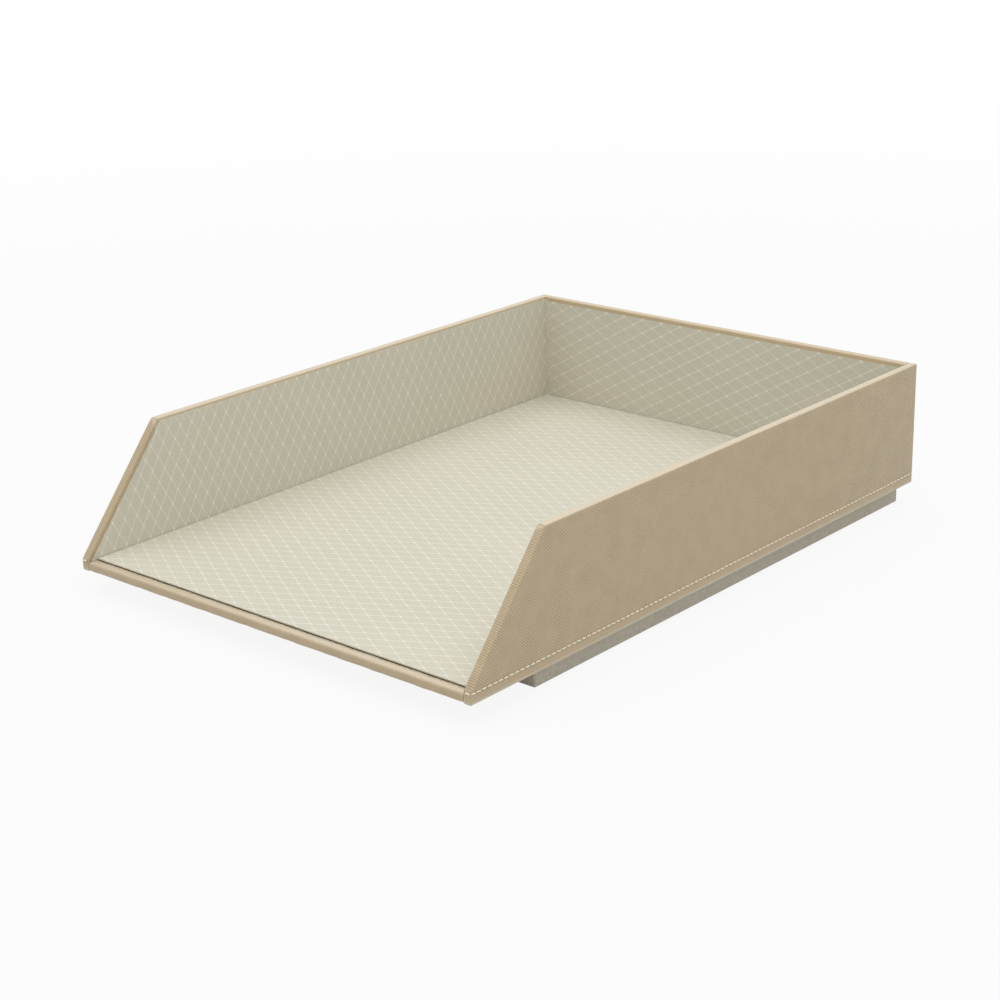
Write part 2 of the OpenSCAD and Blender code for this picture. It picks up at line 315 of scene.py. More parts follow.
class WrappedPanel:
    """The cover of a board: a flat outer face, rounded rims and turn-ins on the inside.

    The outline starts at its lower front corner, so its sides are the bottom, the back end, the
    top and then the front, and the side of a number starts at the corner of that number. Every
    boundary point of the flat face carries a strip of points over the rim. The seam's channel goes
    over a rim as far as CHANNEL_END, in degrees of the cover's turn.
    """

    BOTTOM, BACK, TOP, FRONT = range(4)
    FOLD_CORNER = 3
    CHANNEL_END = 135
    ARC_STEPS = 6
    RIM_STEPS = 2
    CHANNEL_STEPS = 3
    FACE_STEPS = 10
    INSIDE_STEPS = (2.2 * MM, 6 * MM)
    END_ROWS = (0.25 * MM, 0.6 * MM, 1.1 * MM, 1.7 * MM)
    CLOSE_COLUMNS = (0.3 * MM, 0.7 * MM, 1.2 * MM, 1.9 * MM, 3.5 * MM)
    COLUMN_STEP = 7 * MM

    def __init__(self, corners, outer_r, inner_r, props, folded):
        self.corners = corners
        self.outer_r = outer_r
        self.inner_r = inner_r
        self.thickness = PANEL_T
        self.turn_in = props.turn_in
        self.seam = Seam(props)
        self.corner_r = props.corner_r
        self.soften = props.soften * folded
        self.crease = props.crease * folded
        self.fold_corner = self.FOLD_CORNER if folded else None
        self.count = len(corners)
        self.normals = [inward(a, b) for a, b in zip(corners, corners[1:] + corners[:1])]
        self.flat = self.inset(outer_r)
        self.points = []
        self.cloth = []
        self.faces = []

    def inset(self, insides):
        """The outline's corners with each side moved inward by its own distance.

        The front foot is the outline's shortest side: where it has run out, its two ends are one
        point.
        """
        lines = []
        for corner, normal, inside in zip(self.corners, self.normals, insides):
            lines.append((*normal, dot(corner, normal) + inside))
        inner = [crossing(lines[k - 1], lines[k]) for k in range(self.count)]
        if inner[-1][1] < inner[0][1]:
            inner[0] = inner[-1] = crossing(lines[-2], lines[0])
        return inner

    def profile(self, side):
        """Steps over a side's rim, from the end of the flat face to the turn-in's edge."""
        r1, r2 = self.outer_r[side], self.inner_r[side]
        turns = [90 * k / self.ARC_STEPS for k in range(1, self.ARC_STEPS + 1)]
        rim = self.thickness - r1 - r2
        steps = []
        for turn in turns:
            angle = math.radians(turn)
            inside, depth = r1 * (1 - math.sin(angle)), r1 * (1 - math.cos(angle))
            steps.append(Step(inside, depth, r1 * angle, turn))
        run = r1 * math.pi / 2
        for k in range(1, self.RIM_STEPS + 1):
            along = rim * k / self.RIM_STEPS
            steps.append(Step(0.0, r1 + along, run + along, 90))
        run += rim
        for turn in turns:
            angle = math.radians(turn)
            depth = self.thickness - r2 + r2 * math.sin(angle)
            steps.append(Step(r2 * (1 - math.cos(angle)), depth, run + r2 * angle, 90 + turn))
        run += r2 * math.pi / 2 - r2
        for inside in (*self.INSIDE_STEPS, self.turn_in):
            steps.append(Step(inside, self.thickness, run + inside, 180))
        return steps

    def press(self, t):
        """Depth of the seam's channel at height t."""
        share = abs(t - self.seam.height) / (self.seam.width / 2)
        return self.seam.depth * max(0.0, 1 - share * share)

    def face_rows(self):
        """Heights of the face's rows: its own corners, the seam's channel and even steps."""
        low, high = self.flat[self.BOTTOM][1], self.flat[self.TOP][1]
        seam, half = self.seam.height, self.seam.width / 2
        ends = self.CHANNEL_STEPS + 1
        channel = [seam + half * k / self.CHANNEL_STEPS for k in range(-ends, ends + 1)]
        above = seam + 2 * half
        rows = {low, high, 0.5 * (low + channel[0]), *channel}
        rows |= {lerp(above, high, k / self.FACE_STEPS) for k in range(1, self.FACE_STEPS)}
        rows |= {low + away for away in self.END_ROWS}
        rows |= {high - away for away in self.END_ROWS}
        rows |= {point[1] for point in self.flat}
        rows = sorted(row for row in rows if low <= row <= high)
        return [row for k, row in enumerate(rows) if k == 0 or row - rows[k - 1] > NEAR]

    def left_at(self, t):
        """Where the flat face's front boundary is at height t, and which side that is."""
        for k in range(self.FRONT, self.count):
            upper, lower = self.flat[k], self.flat[(k + 1) % self.count]
            if lower[1] - SAME <= t <= upper[1] + SAME:
                share = (t - lower[1]) / (upper[1] - lower[1])
                return lerp(lower[0], upper[0], share), k
        raise ValueError("height outside the panel")

    def draw_in(self, corner, away):
        """How far a side lies inside the sharp outline, that far away from one of its corners."""
        turned = math.acos(max(-1.0, min(1.0, dot(self.normals[corner - 1], self.normals[corner]))))
        bend = min(1.0, math.tan(turned / 2))
        sag = 1 - math.sqrt(1 - bend * bend)
        radius = min(self.corner_r, self.soften / sag)
        left = max(0.0, radius * bend - away)
        return radius - math.sqrt(radius * radius - left * left)

    def build(self):
        """Fills points, cloth and faces."""
        rows = self.face_rows()
        width = self.corners[self.BACK][0] - self.corners[self.BOTTOM][0]
        columns = spaced(width, self.COLUMN_STEP, self.CLOSE_COLUMNS)
        right = self.flat[self.BACK][0]
        grid = []
        for t in rows:
            left, _ = self.left_at(t)
            across = [lerp(left, right, share) for share in columns]
            grid.append([self.add((s, t, self.press(t)), (s, t, 0.0)) for s in across])
        for low, high in zip(grid, grid[1:]):
            for k in range(len(columns) - 1):
                self.faces.append((low[k], low[k + 1], high[k + 1], high[k]))
        self.add_strips(self.boundary(grid, rows))

    def add(self, point, cloth):
        """Adds a point and its place on the flat sheet."""
        self.points.append(point)
        self.cloth.append(cloth)
        return len(self.points) - 1

    def boundary(self, grid, rows):
        """The flat face's boundary, counter-clockwise: (point, side, corner or None)."""
        loop = []
        for side, (corner, *others) in (
            (self.BOTTOM, grid[0][:-1]),
            (self.BACK, [row[-1] for row in grid[:-1]]),
            (self.TOP, grid[-1][:0:-1]),
        ):
            loop += [(corner, side, side), *[(index, side, None) for index in others]]
        loop.append((grid[-1][0], self.FRONT, self.FRONT))
        lower_corners = range(self.FRONT + 1, self.count)
        for k in range(len(grid) - 2, 0, -1):
            _, side = self.left_at(rows[k])
            corner = next((c for c in lower_corners if abs(self.flat[c][1] - rows[k]) < SAME), None)
            loop.append((grid[k][0], side if corner is None else corner, corner))
        return loop

    def unfold(self, place, side, run):
        """A strip point's place on the flat sheet."""
        normal = self.normals[side]
        inside = dot(place, normal) - dot(self.flat[side], normal)
        return tuple(p - n * (inside + run) for p, n in zip(place, normal))

    def add_strips(self, loop):
        """Carries every boundary point over the rim and on to the inside.

        A corner draws in a little and holds the crease of its folded cover.
        """
        strips = [[index] for index, _, _ in loop]
        for stage in zip(*[self.profile(side) for side in range(self.count)]):
            turn = math.radians(stage[0].turn)
            fold = self.crease * min(1.0, math.sin(turn / 2) ** 2 * 2)
            insides = [step.inside for step in stage]
            corners = self.inset(insides)
            for strip, (index, side, corner) in zip(strips, loop):
                step, before, normal = stage[side], stage[side - 1], self.normals[side]
                after = (side + 1) % self.count
                depth = step.depth
                if corner is None:
                    ends = self.flat[side], self.flat[after]
                    length = math.dist(*ends)
                    along = math.dist(ends[0], self.cloth[index][:2])
                    ends = corners[side], corners[after]
                    place = [lerp(a, b, along / length) for a, b in zip(*ends)]
                    cloth = (*self.unfold(place, side, step.run), 0.0)
                    inner = self.draw_in(side, along) + self.draw_in(after, length - along)
                    place = [p + n * inner * math.sin(turn) for p, n in zip(place, normal)]
                else:
                    inner = (self.draw_in(corner, 0.0) + fold) * math.sin(turn)
                    place = list(self.inset([inside + inner for inside in insides])[corner])
                    one = self.unfold(place, side - 1, before.run)
                    two = self.unfold(place, side, step.run)
                    folded = float(corner == self.fold_corner)
                    cloth = (*[0.5 * (a + b) for a, b in zip(one, two)], folded)
                    depth = 0.5 * (depth + before.depth) + fold * min(0.0, math.cos(turn))
                if side not in (self.BOTTOM, self.TOP) and step.turn <= self.CHANNEL_END:
                    sink = self.press(place[1])
                    place = [p + n * sink * math.sin(turn) for p, n in zip(place, normal)]
                    depth += sink * max(0.0, math.cos(turn))
                strip.append(self.add((*place, depth), cloth))
        for one, two in zip(strips, strips[1:] + strips[:1]):
            for k in range(len(one) - 1):
                self.faces.append((two[k], one[k], one[k + 1], two[k + 1]))


def spaced(length, step, close):
    """Shares of a length at about that step, with extra ones close to both ends."""
    count = max(2, round(length / step))
    ends = [c / length for c in close]
    inner = [k / count for k in range(1, count) if ends[-1] < k / count < 1 - ends[-1]]
    return [0.0, *ends, *inner, *[1 - e for e in reversed(ends)], 1.0]


# Finishes


class SheenBand(NamedTuple):
    """A band of painted sheen on a sheet: the heights where it starts and is full, and how pale the
    sheen is.
    """

    low: float
    high: float
    amount: float


class Grain:
    """Numbers of the leatherette: sizes in metres, CROSS_TURN in radians, the rest shares."""

    WANDER_SIZE = 4.2 * MM
    FINE_SIZE = 0.45 * MM
    PATCH_SIZE = 9 * MM
    CLOUD_SIZE = 70 * MM
    WEAR_REACH = 1.6 * MM
    CROSS_PITCH = 1.28
    CROSS_TURN = math.radians(-107)
    MAIN_WOBBLE, CROSS_WOBBLE = 1.1, 1.5
    MAIN_POWER = 0.8
    MAIN_SHARE, CROSS_SHARE, FINE_SHARE = 0.48, 0.28, 0.24
    CALM_ON_SLOPE = 0.7
    PATCH_DEPTH, TOP_DEPTH, WORN_DEPTH, FOOT_DEPTH = 0.3, 0.7, 0.4, 0.45
    PIT_TONE, LEVEL_PIT = 0.85, 0.36
    # The wear tone is partly a painted highlight; the fold and hole tones paint shade.
    CLOUD_TONE, PATCH_TONE, WORN_TONE, FOLD_TONE, HOLE_TONE = 0.07, 0.4, 0.3, 0.75, 0.4
    COAT, COAT_ROUGHNESS = 0.45, 0.38
    WANDER_RELIEF, SWELL_RELIEF, PUCKER_RELIEF = 0.15, 4.5, 1.2


def leatherette(name, props, first_hole, strength, sheens):
    """Cross-hatched leatherette: close diagonal ridges, a weaker crossing set, rim edges paled by
    wear and a painted highlight.

    first_hole is a needle hole's place along the sheet, and strength scales the ridges. The last
    argument's bands are painted sheen, and the first of them wears the ridges down too. Where the
    ridges are weak, the sheet is smooth and swells.
    """
    finish = Finish(name, 0.5)
    s, t, fold = finish.cloth()
    cloth = finish.join(s, t)
    wander = finish.noise(cloth, Grain.WANDER_SIZE, 3.0)
    fine = finish.noise(cloth, Grain.FINE_SIZE)
    patchy = finish.noise(cloth, Grain.PATCH_SIZE)
    broad = finish.noise(finish.place(), Grain.CLOUD_SIZE, 3.0)
    smooth = 1 - strength
    seam = props.seam_height

    def ridges(pitch, turn, wobble):
        phase = (s * math.cos(turn) + t * math.sin(turn)) / pitch + wander * wobble
        return (phase * (2 * math.pi)).math("SINE") * 0.5 + 0.5

    # The grain's height, from 0 to 1, and how deep it is
    pitch, turn = props.ridge_pitch, props.ridge_angle
    main = ridges(pitch, turn, Grain.MAIN_WOBBLE)
    cross = ridges(pitch * Grain.CROSS_PITCH, turn + Grain.CROSS_TURN, Grain.CROSS_WOBBLE)
    slope = finish.facing(SLOPE_FACING).ramp(0.5, 0.9)
    cross = lerp(cross, 0.5, slope * Grain.CALM_ON_SLOPE)
    grain = main ** Grain.MAIN_POWER * Grain.MAIN_SHARE + cross * Grain.CROSS_SHARE
    grain = grain + fine * Grain.FINE_SHARE
    # Rounded edges: wear flattens and glosses their grain, and their paler colour is partly a
    # painted highlight
    pale_edges = finish.edge_turn(Grain.WEAR_REACH).ramp(0.02, 0.35)
    top = t.ramp(sheens[0].low, sheens[0].high)
    foot = t.ramp(seam - 0.4 * MM, seam - 2 * MM)
    depth = patchy.ramp(0.3, 0.7) * Grain.PATCH_DEPTH + (1 - Grain.PATCH_DEPTH)
    depth = depth * (1 - top * Grain.TOP_DEPTH) * (1 - pale_edges * Grain.WORN_DEPTH)
    depth = depth * (1 - foot * Grain.FOOT_DEPTH)

    # Colours: hollows, painted sheen, clouds, rim edges paled by wear and a painted highlight,
    # painted shade in the fold and the needle holes
    pit = grain.ramp(0.68, 0.16) * depth * strength + Grain.LEVEL_PIT * smooth
    tone = finish.mix(pit * Grain.PIT_TONE, props.colour, props.valley_colour)
    # Painted sheen and painted highlights: paler bands on the tops, the lip's top and the walls'
    # lower edges
    for sheen in sheens:
        tone = finish.mix(t.ramp(sheen.low, sheen.high) * sheen.amount, tone, props.sheen_colour)
    tone = finish.mix(broad.ramp(0.35, 0.75) * Grain.CLOUD_TONE, tone, props.faded_colour)
    patches = patchy.ramp(0.42, 0.66) * (Grain.PATCH_TONE * smooth)
    tone = finish.mix(patches, tone, props.faded_colour)
    # Rim edges paled by wear and a painted highlight
    tone = finish.mix(pale_edges * Grain.WORN_TONE, tone, props.wear_highlight_colour)
    # Painted shade in the fold of the corner's crease
    tone = finish.mix(fold.ramp(0.15, 0.85) * Grain.FOLD_TONE, tone, props.hole_shade_colour)
    from_seam = abs(t - seam)
    holes = abs(((s - first_hole) / props.stitch_pitch).past_whole()).ramp(0.1, 0.04)
    level = from_seam.ramp(0.4 * MM, 0.18 * MM)
    # Painted shade in the needle holes along the seam
    tone = finish.mix(holes * level * Grain.HOLE_TONE, tone, props.hole_shade_colour)
    finish.set("Base Color", tone)

    # Gloss and relief
    finish.set("Roughness", grain * -0.12 + 0.58 - pale_edges * 0.06)
    finish.set("Coat Weight", Grain.COAT)
    finish.set("Coat Roughness", Grain.COAT_ROUGHNESS)
    pucker = from_seam.ramp(1.6 * MM, 0.3 * MM) * holes
    swell = patchy * (Grain.SWELL_RELIEF * smooth) + wander * Grain.WANDER_RELIEF
    height = grain * depth * strength + swell - pucker * Grain.PUCKER_RELIEF
    finish.relief(height, props.ridge_height)
    return finish.material


class Lattice:
    """Numbers of the lining paper: sizes in metres, the rest shares."""

    DRIFT_SIZE = 17 * MM
    SPECK_SIZE = 0.9 * MM
    SLUB_SIZE = 0.67 * MM
    CLOUD_SIZE = 55 * MM
    DRIFT = 0.05
    SLUB_STRETCH = 0.15
    SECOND_LINES = 0.8
    SPECK_TONE, SLUB_TONE, CLOUD_TONE, LINE_TONE, DOT_TONE = 0.42, 0.14, 0.12, 0.78, 0.85
    SPECK_RELIEF, SLUB_RELIEF, LINE_RELIEF, DOT_RELIEF = 0.25, 0.3, 0.35, 0.6


def lattice_paper(name, props, unroll, dot, wide, askew=0.0):
    """Lining paper with a fine diamond lattice: thin pale lines and a dot at each crossing.

    unroll takes the parts of a point's place and gives its place on the flat sheet. dot is one
    dot's place there. wide is true where the diamonds lie on their side. askew turns the sheet, in
    radians.
    """
    finish = Finish(name, 0.72, 0.35)
    place = finish.place()
    u, v = [part - start for part, start in zip(unroll(*finish.split(place)), dot)]
    cos, sin = math.cos(askew), math.sin(askew)
    u, v = u * cos + v * sin, v * cos - u * sin
    pitch = (props.diamond_length, props.diamond_width)
    pitch_u, pitch_v = pitch if wide else pitch[::-1]
    sheet = finish.join(u, v)
    drift = finish.noise(sheet, Lattice.DRIFT_SIZE) * Lattice.DRIFT - Lattice.DRIFT / 2
    one = (u / pitch_u - v / pitch_v + drift).past_whole()
    two = (u / pitch_u + v / pitch_v - drift).past_whole()
    spacing = 1 / math.hypot(1 / pitch_u, 1 / pitch_v)
    half = props.line_width / 2 / spacing
    speck = finish.noise(sheet, Lattice.SPECK_SIZE, 3.0, 0.6)
    slub = finish.noise(finish.join(u * Lattice.SLUB_STRETCH, v), Lattice.SLUB_SIZE)
    broken = speck.ramp(0.3, 0.62) * 0.5 + 0.5
    first = abs(one).ramp(half * 1.7, half * 0.3)
    second = abs(two).ramp(half * 1.7, half * 0.3) * Lattice.SECOND_LINES
    lines = first.math("MAXIMUM", second) * broken
    du, dv = (one + two) * (pitch_u / 2), (two - one) * (pitch_v / 2)
    from_dot = (du * du + dv * dv).math("SQRT")
    dots = from_dot.ramp(props.dot_width * 0.6, props.dot_width * 0.3)
    cloud = finish.noise(place, Lattice.CLOUD_SIZE, 3.0)
    shade = speck.ramp(0.36, 0.66) * Lattice.SPECK_TONE + slub * Lattice.SLUB_TONE
    tone = finish.mix(shade, props.colour, props.shade_colour)
    tone = finish.mix(cloud.ramp(0.4, 0.8) * Lattice.CLOUD_TONE, tone, props.line_colour)
    tone = finish.mix(lines * Lattice.LINE_TONE, tone, props.line_colour)
    tone = finish.mix(dots * Lattice.DOT_TONE, tone, props.dot_colour)
    finish.set("Base Color", tone)
    finish.set("Roughness", 0.78 - lines * 0.08 - dots * 0.1)
    print_height = lines * Lattice.LINE_RELIEF + dots * Lattice.DOT_RELIEF
    paper_height = slub * Lattice.SLUB_RELIEF + speck * Lattice.SPECK_RELIEF
    finish.relief(print_height + paper_height, props.relief)
    return finish.material


def fibre_board(props):
    """Raw fibre board: brown, with pressed fibres and darker specks."""
    finish = Finish("fibre_board", 0.85, 0.2)
    place = finish.place()
    fibres = finish.noise(place, 0.7 * MM, 4.0, 0.7)
    specks = finish.noise(place, 2.4 * MM)
    tone = finish.mix(fibres.ramp(0.3, 0.75), props.board_colour, props.board_light)
    finish.set("Base Color", finish.mix(specks.ramp(0.62, 0.75) * 0.6, tone, props.board_dark))
    finish.relief(fibres, 0.1 * MM)
    return finish.material


def raw_card(name, light, dark, facing=None):
    """Raw card with a faint fibre.

    facing gives a paler colour and the height above which it is painted: a painted highlight along
    the card's top edge.
    """
    finish = Finish(name, 0.85, 0.2)
    place = finish.place()
    fibres = finish.noise(place, 0.9 * MM, 4.0, 0.65)
    tone = finish.mix(fibres.ramp(0.3, 0.7), light, dark)
    if facing:
        # Painted highlight: a paler band along the card's top edge
        colour, low = facing
        _, _, z = finish.split(place)
        tone = finish.mix(z.ramp(low - NEAR, low + NEAR), tone, colour)
    finish.set("Base Color", tone)
    finish.relief(fibres, 0.06 * MM)
    return finish.material


def plinth_paper(props):
    """Matt grained paper on the plinth, with small mottled grains and paler corners."""
    finish = Finish("plinth_paper", 0.7, 0.35)
    place = finish.place()
    inputs = {"Vector": place, "Scale": 1 / (0.77 * MM)}
    grains = finish.node("ShaderNodeTexVoronoi", {"feature": "SMOOTH_F1"}, inputs)
    mottle = finish.noise(place, 1.1 * MM, 4.0, 0.65)
    broad = finish.noise(place, 33 * MM)
    pale_edges = finish.edge_turn(0.9 * MM).ramp(0.02, 0.3)
    tone = finish.mix(mottle.ramp(0.3, 0.72), props.colour, props.dark_colour)
    tone = finish.mix(broad.ramp(0.4, 0.8) * 0.1, tone, props.pale_colour)
    finish.set("Base Color", finish.mix(pale_edges * 0.45, tone, props.pale_colour))
    finish.set("Roughness", mottle * 0.2 + 0.62)
    finish.relief(grains * 0.6 + mottle * 0.4, 0.09 * MM)
    return finish.material


def base_felt(props):
    """Thin felt on the underside, with matted fibres."""
    finish = Finish("base_felt", 0.95, 0.1)
    place = finish.place()
    matted = finish.noise(place, 1.1 * MM, 6.0, 0.75)
    broad = finish.noise(place, 22 * MM, 3.0)
    tone = finish.mix(matted.ramp(0.25, 0.75), props.felt_colour, props.felt_dark)
    finish.set("Base Color", finish.mix(broad.ramp(0.45, 0.8) * 0.3, tone, props.felt_pale))
    finish.relief(matted, 0.25 * MM)
    finish.set("Sheen Weight", 0.3)
    return finish.material


def sewing_thread(props):
    """Twisted thread with a soft lustre."""
    finish = Finish("sewing_thread", 0.55, 0.4)
    place = finish.place()
    fuzz = finish.noise(place, 0.33 * MM, 3.0)
    tone = finish.mix(fuzz.ramp(0.3, 0.7) * 0.5, props.colour, props.shade_colour)
    finish.set("Base Color", tone)
    finish.relief(fuzz, 0.03 * MM)
    finish.set("Sheen Weight", 0.15)
    return finish.material


# Properties a user would change


def colour_property(name, description, value):
    """A colour that a user may change."""
    return bpy.props.FloatVectorProperty(
        name=name, description=description, default=value, subtype="COLOR", size=3, min=0.0, max=1.0
    )


def length_property(name, description, millimetres):
    """A length, with its default in millimetres."""
    return bpy.props.FloatProperty(
        name=name, description=description, default=millimetres * MM, unit="LENGTH", precision=5
    )


def angle_property(name, description, degrees):
    """An angle, with its default in degrees."""
    return bpy.props.FloatProperty(
        name=name, description=description, default=math.radians(degrees), subtype="ANGLE"
    )


def power_property(name, description, watts):
    """A lamp's power."""
    return bpy.props.FloatProperty(name=name, description=description, default=watts, unit="POWER")


def place_property(name, description, *millimetres):
    """A place on a sheet or in the tray's frame, with its default in millimetres."""
    return bpy.props.FloatVectorProperty(
        name=name, description=description, default=[part * MM for part in millimetres],
        size=len(millimetres), unit="LENGTH", precision=5
    )


def share_property(name, description, value):
    """A share from 0 to 1."""
    return bpy.props.FloatProperty(
        name=name, description=description, default=value, subtype="FACTOR", min=0.0, max=1.0
    )


def group_property(name, description, group):
    """A group of settings."""
    return bpy.props.PointerProperty(name=name, description=description, type=group)


class CoverSettings(bpy.types.PropertyGroup):
    """Sizes and colours of the leatherette covers."""

    rim_r: length_property("Rim radius", "Rounding of the rims that show", RIM_R / MM)
    butt_r: length_property("Butt radius", "Rounding where a cover meets its neighbour", 0.65)
    lip_r: length_property("Lip radius", "Rounding of the front lip's two edges", LIP_R / MM)
    lip_w: length_property("Lip width", "Width of the lip up to the gap", LIP_W / MM)
    lip_ripple: length_property("Lip ripple", "Depth of the soft dips along the lip", 0.16)
    turn_in: length_property("Turn-in", "Width of the cover on a wall's inside", 14.0)
    corner_r: length_property("Corner radius", "Rounding of a wall's blunt corners", 5.0)
    soften: length_property("Softness", "How far a corner may draw in", 0.44)
    crease: length_property("Crease", "Depth of the fold at a corner", 0.12)
    ridge_pitch: length_property("Ridge pitch", "Distance between the grain's ridges", 1.03)
    ridge_height: length_property("Ridge height", "Height of the grain's ridges", 0.28)
    ridge_angle: angle_property("Ridge angle", "Direction across the ridges", 47)
    seam_height: length_property("Seam height", "Height of the seam over the tray's underside", 4.9)
    seam_width: length_property("Seam width", "Width of the channel pressed by the seam", 1.3)
    seam_depth: length_property("Seam depth", "Depth of the channel pressed by the seam", 0.26)
    stitch_pitch: length_property("Stitch pitch", "Distance between the needle's holes", 3.31)
    # The shares below set painted sheen on the tops and the lip's top, and a painted highlight on
    # the walls' lower edges
    left_sheen: share_property("Left sheen", "Painted sheen on the left wall's top", 0.2)
    right_sheen: share_property("Right sheen", "Painted sheen on the right wall's top", 0.24)
    back_sheen: share_property("Back sheen", "Painted sheen on the back wall's top", 0.0)
    lip_sheen: share_property("Lip sheen", "Painted sheen on the lip's top", 0.25)
    hem_sheen: share_property("Hem sheen", "Painted highlight on the walls' lower edges", 0.38)
    colour: colour_property("Colour", "Crests of the grain", srgb(198, 178, 143))
    valley_colour: colour_property("Valley colour", "Hollows of the grain", srgb(143, 123, 90))
    faded_colour: colour_property("Faded colour", "Paler clouds", srgb(205, 187, 157))
    # The wear colour is partly a painted highlight, the colour after it is painted sheen, and the
    # hole colour is painted shade
    wear_highlight_colour: colour_property("Wear highlight colour", "Edges of the rims", srgb(215, 200, 175))
    sheen_colour: colour_property("Sheen colour", "Painted sheen and highlights on tops, lip and hems", srgb(228, 222, 206))
    hole_shade_colour: colour_property("Hole shade", "Painted shade in the needle holes and the fold", srgb(74, 60, 44))


class LiningSettings(bpy.types.PropertyGroup):
    """Sizes and colours of the lattice lining."""

    diamond_width: length_property("Diamond width", "Short diagonal of the diamonds", 7.3)
    diamond_length: length_property("Diamond length", "Long diagonal of the diamonds", 12.5)
    line_width: length_property("Line width", "Width of the lattice lines", 0.56)
    dot_width: length_property("Dot width", "Width of the dots at the crossings", 1.25)
    relief: length_property("Relief", "Height of the lines and dots", 0.06)
    side_dot: place_property("Side dot", "One dot of a side wall, along and up", -114.4, 65.8)
    back_dot: place_property("Back dot", "One dot of the back wall, across and up", -90.6, 65.5)
    floor_dot: place_property("Floor dot", "One dot of the floor, across and along", 0.0, 0.0)
    side_askew: angle_property("Side askew", "How far the side linings are turned", -1.4)
    colour: colour_property("Colour", "Ground of the lining", srgb(215, 211, 195))
    shade_colour: colour_property("Shade colour", "Darker fibres", srgb(190, 185, 165))
    line_colour: colour_property("Line colour", "Lattice lines", srgb(231, 227, 213))
    dot_colour: colour_property("Dot colour", "Dots at the crossings", srgb(238, 235, 225))


class BoardSettings(bpy.types.PropertyGroup):
    """Colours of the boards and cards."""

    board_colour: colour_property("Board", "Fibre board", srgb(96, 74, 50))
    board_light: colour_property("Board light", "Paler fibres", srgb(122, 98, 70))
    board_dark: colour_property("Board dark", "Dark specks", srgb(58, 44, 30))
    card_colour: colour_property("Card", "Raw card", srgb(158, 148, 132))
    card_dark: colour_property("Card dark", "Darker fibres", srgb(132, 122, 106))
    # The panel card is dark partly as painted shade of the gap in front of the panel, and its pale
    # top band is a painted highlight
    panel_card_and_shade: colour_property("Panel card", "Dark card of the floor panel, partly painted shade of the gap before it", srgb(86, 69, 36))
    panel_dark_and_shade: colour_property("Panel card dark", "Darker fibres", srgb(64, 48, 26))
    panel_highlight: colour_property("Panel highlight", "Painted highlight along the top of that card", srgb(205, 198, 178))
    panel_highlight_t: length_property("Highlight height", "Height of the painted highlight", 0.2)


class PlinthSettings(bpy.types.PropertyGroup):
    """Colours of the plinth's paper and felt."""

    colour: colour_property("Paper", "Plinth paper", srgb(210, 204, 187))
    dark_colour: colour_property("Paper dark", "Darker grains", srgb(186, 180, 163))
    pale_colour: colour_property("Paper pale", "Paler corners and clouds", srgb(224, 217, 203))
    felt_colour: colour_property("Felt", "Felt under the plinth", srgb(140, 132, 119))
    felt_dark: colour_property("Felt dark", "Darker fibres", srgb(112, 104, 92))
    felt_pale: colour_property("Felt pale", "Paler patches", srgb(158, 150, 137))


class ThreadSettings(bpy.types.PropertyGroup):
    """Sizes and colours of the sewn thread."""

    radius: length_property("Thread radius", "Half the thread's thickness", 0.36)
    rise: length_property("Rise", "Height of a stitch's middle line over the channel", 0.2)
    dive: length_property("Dive", "Depth of a stitch's ends in the needle's holes", 0.45)
    slant: length_property("Slant", "Drop of a stitch from its start to its end", 0.2)
    gap: length_property("Gap", "Cover that shows between two stitches", 0.16)
    colour: colour_property("Colour", "Thread", srgb(253, 241, 215))
    shade_colour: colour_property("Shade colour", "Shaded fibres", srgb(234, 217, 187))


class StageSettings(bpy.types.PropertyGroup):
    """Studio stage: camera, lamps and floor."""

    azimuth: angle_property("Azimuth", "Camera's turn from the front to the right", 41.205)
    elevation: angle_property("Elevation", "Camera's angle over the floor", 19.686)
    roll: angle_property("Roll", "Camera's tilt about its own axis", -1.324)
    distance: length_property("Distance", "Camera to its aim", 950.6)
    aim: place_property("Aim", "Point at the picture's middle", 38.05, -54.38, 46)
    focal_pixels: bpy.props.FloatProperty(
        name="Focal length", description="In the picture's pixels", default=2117.2, subtype="PIXEL"
    )
    picture_pixels: bpy.props.IntProperty(
        name="Picture", description="Width of the picture", default=1000, subtype="PIXEL"
    )
    ceiling_power: power_property("Ceiling lamp", "Wide soft lamp overhead", 16.1)
    back_power: power_property("Back lamp", "Soft lamp behind the tray", 2.3)
    front_power: power_property("Front lamp", "Soft lamp above and beside the camera", 4.1)
    sky: bpy.props.FloatProperty(name="Sky", description="Strength of the even light", default=0.6)
    floor_white: share_property("Floor white", "Share of white in the floor as seen", 0.9)


class TrayScene(bpy.types.PropertyGroup):
    """All settings of the letter tray."""

    cover: group_property("Cover", "Leatherette covers", CoverSettings)
    lining: group_property("Lining", "Lattice lining", LiningSettings)
    board: group_property("Board", "Boards and cards", BoardSettings)
    plinth: group_property("Plinth", "Plinth's paper and felt", PlinthSettings)
    thread: group_property("Thread", "Sewn thread", ThreadSettings)
    stage: group_property("Stage", "Camera, lamps and floor", StageSettings)


class Seam:
    """The channel that a row of stitches presses into a cover."""

    def __init__(self, props):
        self.height = props.seam_height
        self.width = props.seam_width
        self.depth = props.seam_depth


def side_corners():
    """A side wall's outline: along the tray, then up from its underside."""
    return [
        (FRONT_Y, 0.0),
        (BACK_Y, 0.0),
        (BACK_Y, WALL_H),
        (SLOPE_TOP_Y, WALL_H),
        (FRONT_Y, FOOT_H),
    ]


def back_corners():
    """The back wall's outline: across the tray, then up from its underside."""
    half = INNER_W / 2
    return [(-half, 0.0), (half, 0.0), (half, WALL_H), (-half, WALL_H)]


